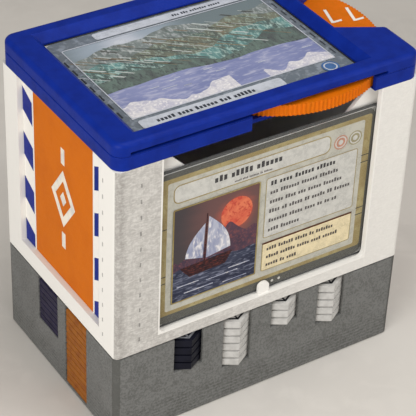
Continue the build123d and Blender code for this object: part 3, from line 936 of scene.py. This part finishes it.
def print_front_card():
    """All that is printed on the front card."""
    sheet = Sheet("front_print", "box", front_card_place())
    gold = painted("front_gold", (FRONT_GOLD, FRONT_GOLD_PALE, FRONT_GOLD), size=GOLD_PATCH)
    paper = ink("front_paper", FRONT_PAPER)
    dark = ink("front_ink", FRONT_INK)
    soft = ink("front_ink_soft", FRONT_INK_SOFT)
    face = card_area(*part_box("front_card"))
    sheet.plate("border", face, CARD_CORNER, ink("front_border", FRONT_BORDER))
    sheet.plate("frame", FRAME_AREA, FRAME_CORNER, gold)
    sheet.plate("field", FIELD_AREA, FIELD_CORNER, ink("front_field", FRONT_PARCHMENT))
    ticks = blocks(NOTCH_PLACES, NOTCH_SIZE) + blocks(DASH_PLACES, DASH_SIZE)
    sheet.lay("ticks", ticks, dark)
    print_front_title(sheet, paper, gold, dark, soft)
    print_front_text(sheet, paper, gold, dark, soft)
    sheet.lay("pips", [round_loop(place, PIP_RADIUS) for place in PIP_PLACES], paper)
    print_ship(sheet, gold)


def sail_loop(foot, top, clew, belly, steps=8):
    """A three-cornered sail whose outer edge bows by belly."""
    loop = [foot, top]
    for step in range(1, steps):
        share = step / steps
        bow = belly * math.sin(math.pi * share)
        u = top[0] + (clew[0] - top[0]) * share + bow
        loop.append((u, top[1] + (clew[1] - top[1]) * share))
    loop.append(clew)
    return loop


def foam_loops():
    """Short level strokes on the sea."""
    return [
        rounded((u, v), (u + length, v + FOAM_WIDTH), FOAM_CORNER, SMALL_STEPS)
        for u, v, length in FOAM
    ]


def print_ship(sheet, gold):
    """The front card's picture."""
    sky = glow("ship_sky", sheet.point(SUN_PLACE), SUN_GLOW, *SHIP_SKY)
    sheet.plate("sky", SHIP_AREA, SHIP_CORNER, sky)
    sun = painted("ship_sun", SHIP_SUN, size=6.0)
    sheet.lay("sun", [round_loop(SUN_PLACE, SUN_RADIUS)], sun)
    hills = painted("ship_hills", SHIP_HILLS, size=5.0)
    sheet.lay("hills", [land(SHIP_AREA, **HILL_LINE)], hills)
    sea = painted("ship_sea", SHIP_SEA, size=5.0, stretch=(0.35, 1, 1.6))
    sheet.lay("sea", [land(SHIP_AREA, **SEA_LINE)], sea)
    sail = painted("ship_sail", SHIP_SAIL, size=6.0, stretch=(1, 1, 0.4))
    sheet.lay("main_sail", [sail_loop(**MAIN_SAIL)], sail)
    sheet.lay("fore_sail", [sail_loop(**FORE_SAIL)], sail)
    hull = painted("ship_hull", SHIP_HULL, size=3.0, stretch=(0.4, 1, 1.5))
    sheet.lay("hull", [HULL], hull)
    sheet.lay("mast", [MAST], hull)
    sheet.lay("foam", foam_loops(), sail)
    sheet.line("picture_line", SHIP_AREA, SHIP_CORNER, SHIP_LINE, gold)


# ---- Card in the lid: ridges over a lake

def streaks(area, count, seed):
    """Thin leaning brush strokes, one in each of as many columns."""
    chance = random.Random(seed)
    low, high = area
    column = (high[0] - low[0]) / count
    loops = []
    for index in range(count):
        length = chance.uniform(*STREAK_LENGTHS)
        width = chance.uniform(*STREAK_WIDTHS)
        u = low[0] + column * index + chance.uniform(0, column - width)
        v = chance.uniform(low[1], high[1] - length)
        lean = STREAK_LEAN * length
        loops.append([(u, v), (u + width, v), (u + width + lean, v + length), (u + lean, v + length)])
    return loops


def print_glints(sheet, material):
    """Short strokes of light at random places on the lake."""
    chance = random.Random(GLINT_SEED)
    (left, bottom), (right, top) = GLINT_AREA
    for number in range(GLINT_COUNT):
        u, v = chance.uniform(left, right), chance.uniform(bottom, top)
        far = (u + chance.uniform(*GLINT_LENGTHS), v + GLINT_WIDTH)
        sheet.lay(f"glint_{number}", [rounded((u, v), far, GLINT_CORNER, SMALL_STEPS)], material)


def top_card_place():
    """From a sheet's millimetres to the flat card's face."""
    low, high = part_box("top_card")
    return Matrix.Translation(((low[0] + high[0]) / 2, (low[1] + high[1]) / 2, high[2]))


def print_lake(sheet, pale):
    """The lid card's picture: sky, ridges, strokes of colour, lake and snowy banks."""
    sky = glow("top_sky", sheet.point(TOP_GLOW_PLACE), TOP_GLOW, *TOP_SKY)
    sheet.plate("sky", TOP_AREA, TOP_CORNER, sky)
    sheet.lay("moon", [round_loop(MOON_PLACE, MOON_RADIUS)], pale)
    for index, (base, peak, colours) in enumerate(TOP_RIDGES):
        tone = painted(f"top_ridge_{index}", colours, size=5.0, stretch=(1, 0.45, 1))
        sheet.lay(f"ridge_{index}", [land(TOP_AREA, base, peak, TOP_RIDGE_SEED + index)], tone)
    for index, colour in enumerate(STREAK_COLOURS):
        loops = streaks(STREAK_AREA, STREAK_COUNT, STREAK_SEED + index)
        sheet.lay(f"streaks_{index}", loops, ink(f"top_streak_{index}", colour))
    lake = painted("top_lake", TOP_LAKE, size=9.0, stretch=(0.4, 1.4, 1))
    sheet.lay("lake", [land(TOP_AREA, **LAKE_LINE)], lake)
    snow = painted("top_snow", TOP_SNOW, size=5.0)
    sheet.lay("banks", [land(TOP_AREA, **line) for line in BANK_LINES], snow)
    print_glints(sheet, pale)
    sheet.line("picture_line", TOP_AREA, TOP_CORNER, TOP_LINE, pale)


def print_top_card():
    """All that is printed on the card in the lid."""
    sheet = Sheet("top_print", "top_card", top_card_place())
    pale = ink("top_pale", TOP_PALE)
    dark = ink("top_ink", TOP_INK)
    border = painted("top_border", TOP_BORDER, size=TOP_BORDER_PATCH)
    sheet.plate("border", card_area(*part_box("top_card")), CARD_CORNER, border)
    print_lake(sheet, pale)
    ticks = []
    for u, size in (TOP_LEFT_TICK, TOP_RIGHT_TICK):
        ticks += blocks([(u, v) for v in TOP_TICK_ROWS], size)
    sheet.lay("ticks", ticks, dark)
    sheet.plate("front_plate", FRONT_PLATE, FRONT_PLATE_CORNER, pale)
    sheet.words("front_words", FRONT_PLATE_WORDS, dark)
    sheet.plate("back_plate", BACK_PLATE, BACK_PLATE_CORNER, pale)
    sheet.words("back_words", BACK_PLATE_WORDS, dark)
    badge = ink("top_badge", TOP_BADGE)
    sheet.lay("badge", [round_loop(TOP_BADGE_PLACE, TOP_BADGE_RADIUS)], badge)
    rings = [round_loop(TOP_BADGE_PLACE, radius) for radius in TOP_BADGE_RINGS]
    sheet.lay("badge_ring", rings, pale)


def print_sleeve_backs():
    """The sleeves' dark back films, seen round the cards."""
    tone = ink("sleeve_back", SLEEVE_BACK)
    sleeves = (("front", front_card_place(), "box"), ("top", top_card_place(), "top_card"))
    for name, place, body in sleeves:
        low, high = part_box(f"{name}_sleeve")
        face = card_area(low, high, SLEEVE_BACK_INSET)
        mesh = flat_mesh([rounded(*face, SLEEVE_BACK_CORNER)], PRINT_LAYER)
        mesh.transform(place @ Matrix.Translation((0, 0, SLEEVE_BACK_DEPTH * MM)))
        settle(f"{name}_sleeve_back", mesh, tone, body)


# ---- Dial numbers

def one_mesh():
    """A one as a stroke with a flag, centred on the origin."""
    half, top = STROKE_WIDTH / 2, DIGIT_HEIGHT / 2
    flag_end = -half - FLAG_LENGTH
    outline = [
        (half, -top),
        (half, top),
        (-half, top),
        (flag_end, top - FLAG_DROP),
        (flag_end, top - FLAG_DROP - STROKE_WIDTH),
        (-half, top - STROKE_WIDTH),
        (-half, -top),
    ]
    return flat_mesh([outline], NUMBER_THICKNESS)


def digit_mesh(character):
    """One digit as a thin plate, of the wanted height and centred on the origin."""
    if character == "1":
        return one_mesh()
    text = bpy.data.curves.new("digit", "FONT")
    text.body = character
    text.extrude = NUMBER_THICKNESS
    holder = bpy.data.objects.new("digit", text)
    mesh = bpy.data.meshes.new_from_object(holder)
    bpy.data.objects.remove(holder)
    bpy.data.curves.remove(text)
    points = [vertex.co for vertex in mesh.vertices]
    low = Vector([min(point[axis] for point in points) for axis in range(3)])
    high = Vector([max(point[axis] for point in points) for axis in range(3)])
    size = DIGIT_HEIGHT * MM / (high.y - low.y)
    flat = NUMBER_THICKNESS * MM / (high.z - low.z)
    mesh.transform(Matrix.Diagonal((size, size, flat, 1)) @ Matrix.Translation(-(low + high) / 2))
    return mesh


def print_numbers():
    """Plain numbers round the dial, each read from the side of the box opposite its front."""
    white = printed_plastic("number_white", NUMBER_WHITE, WHITE_SMOOTH, depth=NUMBER_LAYER_DEPTH)
    low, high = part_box("dial")
    centre = Matrix.Translation(((low[0] + high[0]) / 2, (low[1] + high[1]) / 2, high[2]))
    radius = (high[0] - low[0]) / 2 - NUMBER_INSET * MM
    out = Matrix.Translation((radius, 0, NUMBER_THICKNESS * MM / 2))
    text_turn = Matrix.Rotation(math.radians(NUMBER_TURN), 4, "Z")
    for step in range(NUMBER_COUNT):
        value = NUMBER_SHOWN - step
        turn = Matrix.Rotation(math.radians(NUMBER_PLACE + 360 / NUMBER_COUNT * step), 4, "Z")
        digits = str(value)
        for index, character in enumerate(digits):
            shift = (index - (len(digits) - 1) / 2) * DIGIT_PITCH * MM
            mesh = digit_mesh(character)
            mesh.transform(centre @ turn @ out @ text_turn @ Matrix.Translation((shift, 0, 0)))
            settle(f"dial_number_{value}_{index}", mesh, white, "dial")


# ---- Lines on the tokens

def hexagon(flats):
    """A hexagon with a corner to the front."""
    radius = flats / math.sqrt(3)
    angles = [math.radians(30 + 60 * step) for step in range(6)]
    return [(radius * math.cos(angle), radius * math.sin(angle)) for angle in angles]


def spoke(angle, length, width):
    """A bar from near the centre outwards."""
    along = Vector((math.cos(angle), math.sin(angle)))
    side = Vector((-along.y, along.x)) * width / 2
    start, end = along * width, along * length
    return [tuple(p) for p in (start + side, start - side, end - side, end + side)]


def token_lines(flats):
    """A thin hexagon inside a token's edge, and three spokes."""
    outer = flats - 2 * TOKEN_LINE_INSET
    outline = [hexagon(outer), hexagon(outer - 2 * TOKEN_LINE_WIDTH)]
    reach = (outer - TOKEN_LINE_WIDTH) / math.sqrt(3)
    spokes = [spoke(math.radians(angle), reach, TOKEN_LINE_WIDTH) for angle in SPOKE_ANGLES]
    return {"outline": outline, "spokes": spokes}


def print_tokens():
    """The lines on the top token of each front stack."""
    dark = ink("token_line_dark", TOKEN_LINE_DARK)
    pale = ink("token_line_pale", TOKEN_LINE_PALE)
    tones = {"navy_tokens_front": pale}
    tones.update({f"white_tokens_{where}": dark for where in ("left", "middle", "right")})
    for name, tone in tones.items():
        low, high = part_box(name)
        raised = high[2] + TOKEN_LINE_THICKNESS * MM / 2
        place = Matrix.Translation(((low[0] + high[0]) / 2, (low[1] + high[1]) / 2, raised))
        for part, loops in token_lines((high[0] - low[0]) / MM).items():
            mesh = flat_mesh(loops, TOKEN_LINE_THICKNESS)
            mesh.transform(place)
            settle(f"{name}_{part}", mesh, tone, "drawer")


# ---- Stage

def add_camera():
    """The camera, turned about the box's middle."""
    azimuth, elevation, roll = (math.radians(v) for v in (VIEW_AZIMUTH, VIEW_ELEVATION, VIEW_ROLL))
    flat = math.cos(elevation)
    back = Vector((math.sin(azimuth) * flat, -math.cos(azimuth) * flat, math.sin(elevation)))
    level = Vector((0, 0, 1)).cross(back).normalized()
    upright = back.cross(level)
    right = level * math.cos(roll) + upright * math.sin(roll)
    up = upright * math.cos(roll) - level * math.sin(roll)
    offset = right * VIEW_OFFSET[0] + up * VIEW_OFFSET[1] + back * VIEW_DISTANCE
    camera = bpy.data.objects.new("camera", bpy.data.cameras.new("camera"))
    bpy.context.scene.collection.objects.link(camera)
    turn = Matrix((right, up, back)).transposed().to_4x4()
    camera.matrix_world = Matrix.Translation((Vector((0, 0, AIM_HEIGHT)) + offset) * MM) @ turn
    camera.data.sensor_width = SENSOR_WIDTH
    camera.data.lens = SENSOR_WIDTH * FOCAL_PIXELS / IMAGE_SIDE
    bpy.context.scene.camera = camera


def add_lamps():
    """Three soft lamps and a pale world."""
    aim = Vector((0, 0, AIM_HEIGHT))
    for name, (place, size, power) in LAMPS.items():
        lamp = bpy.data.objects.new(name, bpy.data.lights.new(name, "AREA"))
        lamp.data.size = size * MM
        lamp.data.energy = power
        lamp.location = Vector(place) * MM
        lamp.rotation_mode = "QUATERNION"
        lamp.rotation_quaternion = (aim - Vector(place)).to_track_quat("-Z", "Y")
        bpy.context.scene.collection.objects.link(lamp)
    world = bpy.data.worlds.new("world")
    world.use_nodes = True
    background = world.node_tree.nodes["Background"]
    background.inputs["Color"].default_value = linear(WORLD_COLOUR)
    background.inputs["Strength"].default_value = WORLD_STRENGTH
    bpy.context.scene.world = world


def add_floor():
    """A pale floor just under the box."""
    square = rounded((-FLOOR_HALF, -FLOOR_HALF), (FLOOR_HALF, FLOOR_HALF))
    mesh = flat_mesh([square], FLOOR_THICKNESS)
    mesh.transform(Matrix.Translation((0, 0, -FLOOR_DROP * MM)))
    floor = bpy.data.objects.new("floor", mesh)
    colours = (FLOOR_COLOUR, shaded(FLOOR_COLOUR, FLOOR_SHADE), FLOOR_COLOUR)
    mesh.materials.append(painted("floor", colours, size=FLOOR_PATCH, roughness=0.7))
    bpy.context.scene.collection.objects.link(floor)


add_camera()
add_lamps()
add_floor()
dress_solids()
print_front_card()
print_top_card()
print_sleeve_backs()
print_numbers()
print_tokens()
bpy.context.scene.view_settings.view_transform = "Standard"
